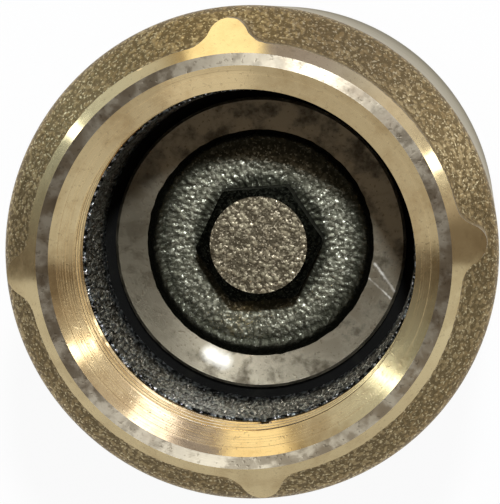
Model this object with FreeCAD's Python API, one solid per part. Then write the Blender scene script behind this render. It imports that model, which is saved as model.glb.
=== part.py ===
import FreeCAD, Part
import math
import os

# In-line spring non-return valve with two pipe-threaded sockets, standing on its outlet end.
# Z runs along the flow axis and up towards the inlet. The origin is the centre of the
# outlet end face. All sizes are in millimetres.

Vec = FreeCAD.Vector
AXIS = Vec(0, 0, 1)

# Pipe thread G 1 1/4 in both sockets, its crests as a plain wall
thread_radius = 19.476
thread_end_depth = 12.1      # end face to the last full thread
countersink_width = 2.724    # the countersink's reach beyond the crests
countersink_depth = 2.2
end_land = 1.4               # width of the flat end face
port_step = 0.276            # the cast port is this much inside the crests

# Outside of a socket, the same at both ends
socket_wall = 5.324          # crests to the outside between the lugs
end_bevel_slope = 1.1        # fall of the machined bevel for each millimetre outwards
lug_count = 4
lug_height = 2.8             # lug tip above the socket
lug_tip_width = 5.2
lug_tip_round = 1.7
lug_root_round = 2.6         # concave flow from the socket into a lug
shoulder_start = 8.2         # end face to the foot of the shoulder cone
shoulder_width = 4.2         # from the socket out to the barrel
shoulder_land = 0.2          # cone's end to the full barrel
shoulder_inset = 1.5         # the cone's core starts this deep inside the socket
shoulder_round = 3.2         # convex turn of the shoulder into the barrel
shoulder_root_round = 1.2    # concave root where socket and lugs meet the shoulder
cap_turn = 22.0              # degrees by which the screwed-in cap's lugs end up out of line

# Barrel, chamber and seat nozzle
barrel_edge_chamfer = 0.5    # where barrel and cap meet
barrel_wall = 3.0            # around the chamber
seat_depth = 31.8            # inlet face to the seat lip
seat_lip_width = 0.8
seat_lip_bevel = 0.5
nozzle_wall = 2.8
pocket_roof = 4.0            # metal between the shoulder and the pocket around the nozzle
pocket_fullness = 0.95       # rounding of the pocket's floor, as a share of half its width

# Screwed joint between barrel and cap
guide_step = 0.9             # the joint's thread is this much wider than the chamber
joint_clearance = 0.05
joint_lead = 0.6             # lead-in bevels
spigot_length = 13.9         # the cap's spigot, from the barrel's mouth to the guide
spigot_wall = 4.5
port_land = 3.8              # plain port between the outlet's thread and the throat's cone
throat_cone_length = 4.6
ring_section = 1.7           # thickness of the round sealing ring
ring_groove_height = 2.4
ring_groove_land = 1.6       # cap flange to the groove
ring_clearance = 0.05

# Stem guide: ring, arms and hub
guide_thickness = 3.5
guide_clearance = 0.1
arm_count = 4
arm_width = 3.0
arm_height = 5.0
arm_rise = 1.0               # spring seat above the top of the ring
hub_radius = 7.4
hub_length = 10.0
hub_rise = 3.0               # hub top above the spring seat
hub_edge_round = 0.8
spring_seat_thickness = 1.8
spring_seat_margin = 1.35    # seat's edge beyond the spring

# Poppet with its stem
disc_margin = 0.6            # disc's edge beyond the rubber ring
disc_thickness = 3.4
disc_edge_round = 0.9
disc_back_radius = 13.0      # flat part of the back
disc_back_slope = 1.0        # the back falls away by this much towards the edge
spigot_height = 2.0          # centres the spring on the disc
spigot_clearance = 0.5
collar_radius = 6.2
stem_radius = 4.0
stem_running_clearance = 0.06
stem_below_hub = 3.2         # end of the closed poppet's stem below the hub
stem_chamfer = 0.8
lift = 8.0                   # travel of the poppet
lift_end_gap = 0.3           # left between collar and hub at full lift

# Rubber ring on the poppet
seal_overlap = 2.0           # ring's edge beyond the port
seal_thickness = 2.8
seal_clearance = 0.1
seal_edge_round = 0.7

# Clamp plate with its hexagon boss
plate_gap = 1.35             # port wall to the plate's rim
plate_rim_height = 1.4       # rim top above the seat plane
plate_rim_width = 3.95
plate_rim_bevel = 0.35
seal_grip = 3.55             # width of rubber under the rim
recess_depth = 1.6
recess_wall_draft = 0.5
recess_round = 0.8
boss_across_flats = 13.6
boss_height = 3.9            # above the rim
boss_top_share = 0.75        # circle left by the chamfer, as a share of the corners' radius
boss_chamfer_drop = 1.3      # at the corners
stud_radius = 4.0
stud_length = 7.0
stud_chamfer = 0.6
stud_hole_extra = 1.2        # blind end of the poppet's tapped hole beyond the stud
stud_clearance = 0.05

# Spring
spring_length = 19.0         # fitted, valve closed
spring_radius = 9.5          # axis to the middle of the wire
wire_radius = 0.55
spring_half_turns = 13
closed_half_turns = 2        # laid together at each end
closed_coil_gap = 0.12
ground_tip = 0.2             # middle of the wire to the ground face, at the wire's tip

# Radii that several pieces share
countersink_radius = thread_radius + countersink_width
end_face_radius = countersink_radius + end_land
socket_radius = thread_radius + socket_wall
lug_radius = socket_radius + lug_height
barrel_radius = socket_radius + shoulder_width
chamber_radius = barrel_radius - barrel_wall
joint_radius = chamber_radius + guide_step
throat_radius = joint_radius - spigot_wall
port_radius = thread_radius - port_step
seal_radius = port_radius + seal_overlap
disc_radius = seal_radius + disc_margin
plate_radius = port_radius - plate_gap
seal_inner_radius = plate_radius - seal_grip
spigot_radius = spring_radius - wire_radius - spigot_clearance

# Heights from the outlet face up to the inlet face
end_depth = shoulder_start + shoulder_width + shoulder_land
guide_low_z = end_depth + spigot_length
guide_top_z = guide_low_z + guide_thickness
spring_seat_z = guide_top_z + arm_rise
hub_top_z = spring_seat_z + hub_rise
collar_end_z = hub_top_z + lift + lift_end_gap
disc_back_z = spring_seat_z + spring_length
disc_top_z = disc_back_z + disc_thickness
seat_z = disc_top_z + seal_thickness
body_length = seat_z + seat_depth

# Cutters and cores run past the faces they open or join by this much
OVERRUN = 1.0


def turned(corners):
    """Solid turned about Z. A corner is (radius, height) or (radius, height, rounding)."""
    points = [Vec(corner[0], 0, corner[1]) for corner in corners]
    rounds = [corner[2] if len(corner) > 2 else 0 for corner in corners]
    arcs, starts, ends = [], [], []
    for index, point in enumerate(points):
        back = (points[index - 1] - point).normalize()
        ahead = (points[(index + 1) % len(points)] - point).normalize()
        half_angle = back.getAngle(ahead) / 2
        reach = rounds[index] / math.tan(half_angle)
        starts.append(point + back * reach)
        ends.append(point + ahead * reach)
        if rounds[index]:
            inwards = (back + ahead).normalize()
            middle = point + inwards * (rounds[index] / math.sin(half_angle) - rounds[index])
            arcs.append(Part.Arc(starts[-1], middle, ends[-1]).toShape())
        else:
            arcs.append(None)
    edges = []
    for index, piece in enumerate(arcs):
        if piece:
            edges.append(piece)
        edges.append(Part.makeLine(ends[index], starts[(index + 1) % len(points)]))
    return Part.Face(Part.Wire(edges)).revolve(Vec(0, 0, 0), AXIS, 360)


def spun(point, degrees):
    """A point turned about Z."""
    return FreeCAD.Rotation(AXIS, degrees).multVec(point)


def arc(centre, start, end):
    """Arc about a centre, the short way from start to end."""
    outwards = ((start - centre) + (end - centre)).normalize()
    return Part.Arc(start, centre + outwards * (start - centre).Length, end).toShape()


def root_centre(corner, reach_from_corner, reach_from_axis):
    """Centre of a concave root arc: it lies at given distances from a lug's corner and the axis."""
    span = corner.Length
    along = (span ** 2 + reach_from_axis ** 2 - reach_from_corner ** 2) / (2 * span)
    across = math.sqrt(reach_from_axis ** 2 - along ** 2)
    outwards = Vec(corner).normalize()
    return outwards * along + Vec(outwards.y, -outwards.x, 0) * across


def socket_outline():
    """Cross-section of a socket: a circle with lugs that rise from it in concave roots."""
    corner = Vec(lug_tip_width / 2 - lug_tip_round, lug_radius - lug_tip_round, 0)
    root = root_centre(corner, lug_tip_round + lug_root_round, socket_radius + lug_root_round)
    tip_end = Vec(corner.x, lug_radius, 0)
    side = corner + (root - corner).normalize() * lug_tip_round
    foot = Vec(root).normalize() * socket_radius

    def mirrored(point):
        return Vec(-point.x, point.y, point.z)

    pitch = 360 / lug_count
    edges = []
    for index in range(lug_count):
        turn = -index * pitch

        def at(point):
            return spun(point, turn)

        edges.append(arc(at(mirrored(root)), at(mirrored(foot)), at(mirrored(side))))
        edges.append(arc(at(mirrored(corner)), at(mirrored(side)), at(mirrored(tip_end))))
        edges.append(Part.makeLine(at(mirrored(tip_end)), at(tip_end)))
        edges.append(arc(at(corner), at(tip_end), at(side)))
        edges.append(arc(at(root), at(side), at(foot)))
        edges.append(arc(Vec(0, 0, 0), at(foot), spun(mirrored(foot), turn - pitch)))
    return Part.Wire(edges)


def is_shoulder_root(edge):
    """True for the edges where the socket and its lugs meet the shoulder cone."""
    slack = 0.01
    low = shoulder_start - slack
    high = shoulder_start + lug_height + slack
    return edge.BoundBox.ZMin > low and edge.BoundBox.ZMax < high


def end_form():
    """Outside of one end, with its face at z = 0 and the full barrel from end_depth on."""
    socket = Part.Face(socket_outline()).extrude(Vec(0, 0, end_depth))
    shoulder = turned([
        (0, shoulder_start - shoulder_inset),
        (socket_radius - shoulder_inset, shoulder_start - shoulder_inset),
        (barrel_radius, shoulder_start + shoulder_width, shoulder_round),
        (barrel_radius, end_depth + shoulder_round),
        (0, end_depth + shoulder_round)])
    form = socket.fuse(shoulder).removeSplitter()
    form = form.makeFillet(shoulder_root_round, [e for e in form.Edges if is_shoulder_root(e)])
    outer = 2 * barrel_radius
    bevel_fall = (outer - end_face_radius) * end_bevel_slope
    return form.cut(turned([(end_face_radius, 0), (outer, 0), (outer, bevel_fall)]))


def end_bore(depth):
    """Cutter for one end, face at z = 0: countersink, thread wall and cast port to a depth."""
    return turned([
        (0, -OVERRUN),
        (countersink_radius, -OVERRUN),
        (countersink_radius, 0),
        (thread_radius, countersink_depth),
        (thread_radius, thread_end_depth),
        (port_radius, thread_end_depth + port_step),
        (port_radius, depth),
        (0, depth)])


def at_inlet(shape):
    """A form built on the outlet end, turned over onto the inlet end."""
    moved = shape.copy()
    moved.rotate(Vec(0, 0, 0), Vec(1, 0, 0), 180)
    moved.translate(Vec(0, 0, body_length))
    return moved


def inlet_body():
    """Inlet socket, shoulder and barrel in one casting, with the seat nozzle inside."""
    barrel_top_z = body_length - end_depth - OVERRUN
    barrel = turned([
        (0, end_depth),
        (barrel_radius - barrel_edge_chamfer, end_depth),
        (barrel_radius, end_depth + barrel_edge_chamfer),
        (barrel_radius, barrel_top_z),
        (0, barrel_top_z)])
    nozzle_radius = port_radius + nozzle_wall
    pocket_round = pocket_fullness * (chamber_radius - nozzle_radius) / 2
    pocket_z = body_length - end_depth - pocket_roof
    lip_radius = port_radius + seat_lip_width
    lip_bevel_z = seat_z + nozzle_radius - lip_radius - seat_lip_bevel
    chamber = turned([
        (0, end_depth - OVERRUN),
        (joint_radius + joint_lead, end_depth - OVERRUN),
        (joint_radius + joint_lead, end_depth),
        (joint_radius, end_depth + joint_lead),
        (joint_radius, guide_top_z),
        (chamber_radius, guide_top_z),
        (chamber_radius, pocket_z, pocket_round),
        (nozzle_radius, pocket_z, pocket_round),
        (nozzle_radius, lip_bevel_z),
        (lip_radius, seat_z),
        (0, seat_z)])
    casting = at_inlet(end_form()).fuse(barrel).removeSplitter()
    return casting.cut(chamber).cut(at_inlet(end_bore(seat_depth + OVERRUN)))


def outlet_cap():
    """Outlet socket with the spigot that screws into the barrel and holds the guide."""
    spigot_outside = joint_radius - joint_clearance
    groove_floor = joint_radius - ring_section - 2 * ring_clearance
    groove_low_z = end_depth + ring_groove_land
    groove_high_z = groove_low_z + ring_groove_height
    flange = turned([
        (0, 0),
        (2 * barrel_radius, 0),
        (2 * barrel_radius, end_depth),
        (0, end_depth)])
    edge_cut = turned([
        (barrel_radius - barrel_edge_chamfer, end_depth),
        (barrel_radius + OVERRUN, end_depth),
        (barrel_radius + OVERRUN, end_depth - barrel_edge_chamfer - OVERRUN)])
    spigot = turned([
        (0, shoulder_start),
        (groove_floor, shoulder_start),
        (groove_floor, end_depth),
        (spigot_outside, end_depth),
        (spigot_outside, groove_low_z),
        (groove_floor, groove_low_z),
        (groove_floor, groove_high_z),
        (spigot_outside, groove_high_z),
        (spigot_outside, guide_low_z - joint_lead),
        (spigot_outside - joint_lead, guide_low_z),
        (0, guide_low_z)])
    cone_low_z = thread_end_depth + port_land
    throat = turned([
        (0, thread_end_depth + port_step),
        (port_radius, thread_end_depth + port_step),
        (port_radius, cone_low_z),
        (throat_radius, cone_low_z + throat_cone_length),
        (throat_radius, guide_low_z + OVERRUN),
        (0, guide_low_z + OVERRUN)])
    outside = end_form().common(flange).cut(edge_cut)
    outside.rotate(Vec(0, 0, 0), AXIS, cap_turn)
    return outside.fuse(spigot).cut(throat).cut(end_bore(cone_low_z))


def joint_ring():
    """Round rubber ring in the spigot's groove, sealing cap to barrel."""
    middle_radius = joint_radius - ring_clearance - ring_section / 2
    middle_z = end_depth + ring_groove_land + ring_groove_height / 2
    return Part.makeTorus(middle_radius, ring_section / 2, Vec(0, 0, middle_z), AXIS)


def guide_arm(reach):
    """One arm along X, with a rounded edge on the downstream side like a small wing."""
    half = arm_width / 2
    low = guide_top_z - arm_height + half
    outline = Part.Wire([
        Part.makeLine(Vec(0, half, low), Vec(0, half, guide_top_z)),
        Part.makeLine(Vec(0, half, guide_top_z), Vec(0, -half, guide_top_z)),
        Part.makeLine(Vec(0, -half, guide_top_z), Vec(0, -half, low)),
        arc(Vec(0, 0, low), Vec(0, -half, low), Vec(0, 0, low - half)),
        arc(Vec(0, 0, low), Vec(0, 0, low - half), Vec(0, half, low))])
    return Part.Face(outline).extrude(Vec(reach, 0, 0))


def stem_guide():
    """Spider that the cap clamps in the barrel: outer ring, arms and the hub for the stem."""
    ring_outside = joint_radius - guide_clearance
    seat_radius = spring_radius + wire_radius + spring_seat_margin
    seat_low_z = spring_seat_z - spring_seat_thickness
    hub_low_z = hub_top_z - hub_length
    ring = turned([
        (throat_radius, guide_low_z),
        (ring_outside, guide_low_z),
        (ring_outside, guide_top_z),
        (throat_radius, guide_top_z)])
    hub = turned([
        (0, hub_low_z),
        (hub_radius, hub_low_z, hub_edge_round),
        (hub_radius, seat_low_z, hub_edge_round),
        (seat_radius, seat_low_z, hub_edge_round / 2),
        (seat_radius, spring_seat_z),
        (hub_radius, spring_seat_z),
        (hub_radius, hub_top_z, hub_edge_round),
        (0, hub_top_z)])
    spider = ring.fuse(hub)
    for index in range(arm_count):
        arm = guide_arm((throat_radius + ring_outside) / 2)
        arm.rotate(Vec(0, 0, 0), AXIS, (index + 0.5) * 360 / arm_count)
        spider = spider.fuse(arm)
    spigot_room = turned([
        (throat_radius - guide_clearance, guide_low_z - arm_height),
        (joint_radius + OVERRUN, guide_low_z - arm_height),
        (joint_radius + OVERRUN, guide_low_z),
        (throat_radius - guide_clearance, guide_low_z)])
    bore = Part.makeCylinder(stem_radius + stem_running_clearance, hub_length + 2 * OVERRUN,
                             Vec(0, 0, hub_low_z - OVERRUN))
    return spider.cut(spigot_room).cut(bore).removeSplitter()


def poppet_disc():
    """Brass disc that carries the rubber ring, with its spring spigot, collar and stem."""
    stem_end_z = hub_top_z - hub_length - stem_below_hub
    spigot_end_z = disc_back_z - spigot_height
    stud_hole = stud_radius + stud_clearance
    hole_end_z = disc_top_z - stud_length - stud_hole_extra
    return turned([
        (stud_hole, disc_top_z),
        (disc_radius, disc_top_z, disc_edge_round / 2),
        (disc_radius, disc_back_z + disc_back_slope, disc_edge_round),
        (disc_back_radius, disc_back_z, disc_edge_round),
        (spigot_radius, disc_back_z),
        (spigot_radius, spigot_end_z, disc_edge_round / 2),
        (collar_radius, spigot_end_z, disc_edge_round),
        (collar_radius, collar_end_z),
        (stem_radius, collar_end_z),
        (stem_radius, stem_end_z + stem_chamfer),
        (stem_radius - stem_chamfer, stem_end_z),
        (0, stem_end_z),
        (0, hole_end_z),
        (stud_hole, hole_end_z)])


def poppet_seal():
    """Black rubber ring that closes on the seat lip."""
    return turned([
        (seal_inner_radius, disc_top_z),
        (seal_radius, disc_top_z, seal_edge_round),
        (seal_radius, seat_z, seal_edge_round),
        (seal_inner_radius, seat_z)])


def clamp_plate():
    """Dished plate that holds the rubber ring: machined rim, cast recess and hexagon boss."""
    rim_z = seat_z + plate_rim_height
    floor_z = rim_z - recess_depth
    boss_z = rim_z + boss_height
    recess_radius = plate_radius - plate_rim_width
    plate = turned([
        (0, disc_top_z),
        (seal_inner_radius - seal_clearance, disc_top_z),
        (seal_inner_radius - seal_clearance, seat_z),
        (plate_radius, seat_z),
        (plate_radius, rim_z - plate_rim_bevel),
        (plate_radius - plate_rim_bevel, rim_z),
        (recess_radius, rim_z),
        (recess_radius - recess_wall_draft, floor_z, recess_round),
        (0, floor_z)])
    corner_radius = boss_across_flats / 2 / math.cos(math.pi / 6)
    foot_z = (floor_z + disc_top_z) / 2
    corners = [spun(Vec(corner_radius, 0, foot_z), 60 * side) for side in range(7)]
    hexagon = Part.Face(Part.makePolygon(corners)).extrude(Vec(0, 0, boss_z - foot_z))
    top_radius = corner_radius * boss_top_share
    cone_fall = boss_chamfer_drop / (corner_radius - top_radius)
    outer = corner_radius + OVERRUN
    chamfer = turned([
        (0, foot_z - OVERRUN),
        (outer, foot_z - OVERRUN),
        (outer, boss_z - cone_fall * (outer - top_radius)),
        (top_radius, boss_z),
        (0, boss_z)])
    stud_end_z = disc_top_z - stud_length
    stud = turned([
        (0, stud_end_z),
        (stud_radius - stud_chamfer, stud_end_z),
        (stud_radius, stud_end_z + stud_chamfer),
        (stud_radius, foot_z),
        (0, foot_z)])
    return plate.fuse(hexagon.common(chamfer)).fuse(stud).removeSplitter()


def return_spring():
    """Coil spring with closed and ground ends, as tilted half rings that meet square to Y."""
    closed_rise = (2 * wire_radius + closed_coil_gap) / 2
    active_half_turns = spring_half_turns - 2 * closed_half_turns
    open_length = spring_length - 2 * ground_tip - 2 * closed_half_turns * closed_rise
    closed = [closed_rise] * closed_half_turns
    rises = closed + [open_length / active_half_turns] * active_half_turns + closed
    height, side = spring_seat_z + ground_tip, 1
    halves = []
    for rise in rises:
        start = Vec(side * spring_radius, 0, height)
        middle = Vec(0, 0, height + rise / 2)
        section = Part.Face(Part.Wire(Part.makeCircle(wire_radius, start, Vec(0, 1, 0))))
        tilted_axis = (start - middle).cross(Vec(0, side, 0))
        halves.append(section.revolve(middle, tilted_axis, 180))
        height += rise
        side = -side
    coil = halves[0].multiFuse(halves[1:])
    ground = Part.makeCylinder(2 * spring_radius, spring_length, Vec(0, 0, spring_seat_z))
    return coil.common(ground)


def main():
    os.makedirs("parts", exist_ok=True)
    pieces = {
        "inlet_body": inlet_body(),
        "outlet_cap": outlet_cap(),
        "joint_ring": joint_ring(),
        "stem_guide": stem_guide(),
        "poppet_disc": poppet_disc(),
        "poppet_seal": poppet_seal(),
        "clamp_plate": clamp_plate(),
        "return_spring": return_spring()}
    for name, shape in pieces.items():
        shape.exportStep("parts/" + name + ".step")
        print(name, "valid", shape.isValid(), "solids", len(shape.Solids),
              "faces", len(shape.Faces), "volume", round(shape.Volume, 1))
    print("length", round(body_length, 3), "barrel radius", round(barrel_radius, 3))


main()
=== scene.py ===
# %% [markdown]
# # A non-return valve, seen into its inlet
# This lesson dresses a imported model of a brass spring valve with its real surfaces. The packed
# model gives every piece its place and size, so we load it first and only add to it. The real
# valve is two castings screwed together, machined only where that is needed, and most of its look
# comes from the contrast between rough cast skin and bright turned metal.

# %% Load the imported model
import bmesh
import bpy
import math
from mathutils import Matrix, Vector, noise


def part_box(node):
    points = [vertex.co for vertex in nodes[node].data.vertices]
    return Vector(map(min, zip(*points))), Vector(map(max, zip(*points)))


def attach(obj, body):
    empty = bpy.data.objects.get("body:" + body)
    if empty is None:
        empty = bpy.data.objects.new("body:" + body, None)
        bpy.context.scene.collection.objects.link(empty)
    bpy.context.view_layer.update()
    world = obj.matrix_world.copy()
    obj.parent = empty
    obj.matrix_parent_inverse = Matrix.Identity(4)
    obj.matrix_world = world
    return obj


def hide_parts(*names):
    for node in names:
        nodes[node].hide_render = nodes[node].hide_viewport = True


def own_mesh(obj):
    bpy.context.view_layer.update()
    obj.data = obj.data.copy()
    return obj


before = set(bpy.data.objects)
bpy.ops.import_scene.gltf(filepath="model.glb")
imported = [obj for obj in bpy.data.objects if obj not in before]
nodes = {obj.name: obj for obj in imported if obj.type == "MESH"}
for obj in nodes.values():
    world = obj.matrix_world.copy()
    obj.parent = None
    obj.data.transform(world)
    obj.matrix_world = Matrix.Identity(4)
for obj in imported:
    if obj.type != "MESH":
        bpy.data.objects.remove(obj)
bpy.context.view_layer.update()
print("nodes", sorted(nodes))

# %% [markdown]
# ## Sizes
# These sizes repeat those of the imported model, in millimetres, because the new meshes have to lie
# exactly where the plain solids are. Depths are measured from an end face into the valve, so that
# one description serves both ends.

# %% Sizes of the castings
MM = 0.001
top_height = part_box("inlet_body")[1].z / MM
thread_crest_radius = 19.476
thread_root_radius = 20.955
thread_pitch = 2.309
countersink_radius = 22.2
countersink_break = (21.45, 0.6)
first_thread_depth = 1.8
end_face_radius = 23.6
bevel_slope = 1.1
socket_radius = 24.8
lug_count = 4
lug_radius = 27.6
lug_tip_width = 4.6
lug_tip_round = 2.3
lug_root_round = 3.2
shoulder_start = 8.2
barrel_radius = 29.0
joint_height = 12.6
joint_radius = 26.9
chamber_radius = 26.0
port_radius = 19.2
thread_end_depth = 11.1
seat_height = 56.2
rim_height = 57.6
cap_turn = math.radians(22.0)
print("height of the valve", round(top_height, 3))

# %% [markdown]
# ## The camera
# The photograph looks almost straight down into the inlet from about 36 cm, from a little to the
# upper right, so the right-hand outside wall shows as a thin crescent. A long lens keeps the two
# ends of the valve nearly the same size. The up direction is turned by 4.3 degrees because the
# valve lay slightly turned in the picture.

# %% Camera
camera_place = Vector((26.951, 25.826, 441.876))
camera_aim = Vector((0.879, 1.08, 88.0))
picture_turn = math.radians(4.3)
picture_up = Vector((math.sin(picture_turn), math.cos(picture_turn), 0))
camera_data = bpy.data.cameras.new("camera")
camera_data.lens = 225
camera_data.sensor_width = 36
camera = bpy.data.objects.new("camera", camera_data)
bpy.context.scene.collection.objects.link(camera)
backwards = (camera_place - camera_aim).normalized()
rightwards = picture_up.cross(backwards).normalized()
upwards = backwards.cross(rightwards)
facing = Matrix((rightwards, upwards, backwards)).transposed()
camera.matrix_world = Matrix.Translation(camera_place * MM) @ facing.to_4x4()
bpy.context.scene.camera = camera
print("camera tilt", round(math.degrees(backwards.angle(Vector((0, 0, 1)))), 2))

# %% [markdown]
# ## Finishes
# Every surface needs its own material, and several share an effect: the grain of cast metal, or
# the fine rings that a lathe leaves. Such an effect is built once as a node group with named
# sockets and then placed in each material with its own values. The small helpers here only save
# typing: one adds a node and sets its inputs, one starts a group, and one starts a material.

# %% Helpers for shader nodes
def add_node(tree, kind, settings=None, **inputs):
    node = tree.nodes.new(kind)
    for name, value in (settings or {}).items():
        setattr(node, name, value)
    for name, value in inputs.items():
        socket = node.inputs[int(name[1:])] if name[0] == "i" and name[1:].isdigit() \
            else node.inputs[name.replace("_", " ")]
        if isinstance(value, bpy.types.NodeSocket):
            tree.links.new(value, socket)
        else:
            socket.default_value = value
    return node


def maths(tree, operation, first, second=0.0, third=0.0):
    node = add_node(tree, "ShaderNodeMath", {"operation": operation}, i0=first, i1=second)
    if operation in ("MULTIPLY_ADD", "SMOOTH_MIN", "SMOOTH_MAX"):
        node.inputs[2].default_value = third
    return node.outputs[0]


def mapped(tree, value, low, high, to_low=0.0, to_high=1.0):
    node = add_node(tree, "ShaderNodeMapRange", {"interpolation_type": "SMOOTHSTEP"},
                    Value=value, From_Min=low, From_Max=high, To_Min=to_low, To_Max=to_high)
    return node.outputs["Result"]


def blended(tree, share, first, second):
    node = add_node(tree, "ShaderNodeMix", {"data_type": "RGBA"})
    for index, value in ((0, share), (6, first), (7, second)):
        socket = node.inputs[index]
        if isinstance(value, bpy.types.NodeSocket):
            tree.links.new(value, socket)
        else:
            socket.default_value = value
    return node.outputs[2]


def start_group(name, inputs, outputs):
    group = bpy.data.node_groups.new(name, "ShaderNodeTree")
    for label, kind, value in inputs:
        socket = group.interface.new_socket(label, in_out="INPUT", socket_type="NodeSocket" + kind)
        if value is not None:
            socket.default_value = value
    for label, kind in outputs:
        group.interface.new_socket(label, in_out="OUTPUT", socket_type="NodeSocket" + kind)
    start = group.nodes.new("NodeGroupInput")
    end = group.nodes.new("NodeGroupOutput")
    return group, start.outputs, end.inputs


def place_group(tree, group, **inputs):
    node = tree.nodes.new("ShaderNodeGroup")
    node.node_tree = group
    for name, value in inputs.items():
        socket = node.inputs[name.replace("_", " ")]
        if isinstance(value, bpy.types.NodeSocket):
            tree.links.new(value, socket)
        else:
            socket.default_value = value
    return node.outputs


def start_material(name, **settings):
    material = bpy.data.materials.new(name)
    material.use_nodes = True
    tree = material.node_tree
    shader = tree.nodes["Principled BSDF"]
    for label, value in settings.items():
        shader.inputs[label.replace("_", " ")].default_value = value
    place = tree.nodes.new("ShaderNodeTexCoord").outputs["Object"]
    return material, tree, shader, place


def colour(red, green, blue):
    """A colour as a picture program shows it, 0 to 255, as Blender's linear values."""
    linear = [(c / 255 / 12.92) if c <= 10 else ((c / 255 + 0.055) / 1.055) ** 2.4
              for c in (red, green, blue)]
    return (*linear, 1.0)

# %% [markdown]
# ### Cast grain
# Sand-cast brass has a skin of small grains, here about half a millimetre wide, with darker pits
# between them and tiny bright glints on top. One group makes the height of the grains from a noise
# and rounded cells. It also puts out masks of the pits, the glints and the larger patches of
# tarnish, so that each material can colour them in its own way; the bright colour of the glints is
# a painted highlight.

# %% Cast grain group
cast_grain, given, result = start_group(
    "cast_grain", [("Place", "Vector", None), ("Grain Size", "Float", 0.45)],
    [("Height", "Float"), ("Pits", "Float"), ("Glints", "Float"), ("Patches", "Float")])
tree = cast_grain
per_metre = maths(tree, "DIVIDE", 1 / MM, given["Grain Size"])
grain = add_node(tree, "ShaderNodeTexNoise", {"noise_dimensions": "3D"},
                 Vector=given["Place"], Scale=per_metre, Detail=2.0, Roughness=0.55)
cells = add_node(tree, "ShaderNodeTexVoronoi", {"feature": "SMOOTH_F1"},
                 Vector=given["Place"], Scale=maths(tree, "MULTIPLY", per_metre, 0.8),
                 Smoothness=0.5)
glints = add_node(tree, "ShaderNodeTexNoise", {"noise_dimensions": "3D"},
                  Vector=given["Place"], Scale=maths(tree, "MULTIPLY", per_metre, 1.7), Detail=1.0)
patches = add_node(tree, "ShaderNodeTexNoise", {"noise_dimensions": "3D"},
                   Vector=given["Place"], Scale=160.0, Detail=4.0, Roughness=0.6)
rounded = mapped(tree, cells.outputs["Distance"], 0.0, 0.75, 1.0, 0.0)
height = maths(tree, "ADD", maths(tree, "MULTIPLY", rounded, 0.5),
               maths(tree, "MULTIPLY", grain.outputs["Fac"], 0.9))
tree.links.new(height, result["Height"])
tree.links.new(mapped(tree, height, 0.80, 0.50), result["Pits"])
tree.links.new(mapped(tree, glints.outputs["Fac"], 0.56, 0.72), result["Glints"])
tree.links.new(mapped(tree, patches.outputs["Fac"], 0.35, 0.65), result["Patches"])
print("group", cast_grain.name)

# %% [markdown]
# ### Turning lines
# A lathe tool leaves fine rings round the axis. Their height only depends on the distance from the
# axis and the height along it, never on the angle, so a noise with one dimension draws them all.

# %% Turning lines group
turning_lines, given, result = start_group(
    "turning_lines", [("Place", "Vector", None), ("Line Width", "Float", 0.15),
                      ("Axial Share", "Float", 1.0)],
    [("Height", "Float"), ("Streaks", "Float")])
tree = turning_lines
parts = add_node(tree, "ShaderNodeSeparateXYZ", Vector=given["Place"]).outputs
radius = maths(tree, "SQRT", maths(tree, "ADD", maths(tree, "MULTIPLY", parts["X"], parts["X"]),
                                   maths(tree, "MULTIPLY", parts["Y"], parts["Y"])))
along = maths(tree, "ADD", radius, maths(tree, "MULTIPLY", parts["Z"], given["Axial Share"]))
per_metre = maths(tree, "DIVIDE", 1 / MM, given["Line Width"])
lines = add_node(tree, "ShaderNodeTexNoise", {"noise_dimensions": "1D"},
                 W=maths(tree, "MULTIPLY", along, per_metre), Scale=1.0, Detail=2.0)
broad = add_node(tree, "ShaderNodeTexNoise", {"noise_dimensions": "1D"},
                 W=maths(tree, "MULTIPLY", along, 1500.0), Scale=1.0, Detail=3.0)
tree.links.new(lines.outputs["Fac"], result["Height"])
tree.links.new(mapped(tree, broad.outputs["Fac"], 0.35, 0.65), result["Streaks"])
print("group", turning_lines.name)

# %% [markdown]
# ### The cast finishes
# The same brass looks different by its treatment: the outer skin is olive brown and sparkles, the
# bore keeps the dark skin of the mould, and the clamp plate is greyer. One function makes them
# all: metallic, with the grain as a bump and its masks in the colour. A painted shade darkens the
# corners of the plate's recess, by its outer wall and round the boss, and the boss's sides get a
# far darker copy of its skin as painted shade. The bore's grain is stretched along the axis.

# %% Cast finishes
# The colour of the painted shade in the corners of the plate's recess.
painted_shade_colour = colour(34, 35, 28)


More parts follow.
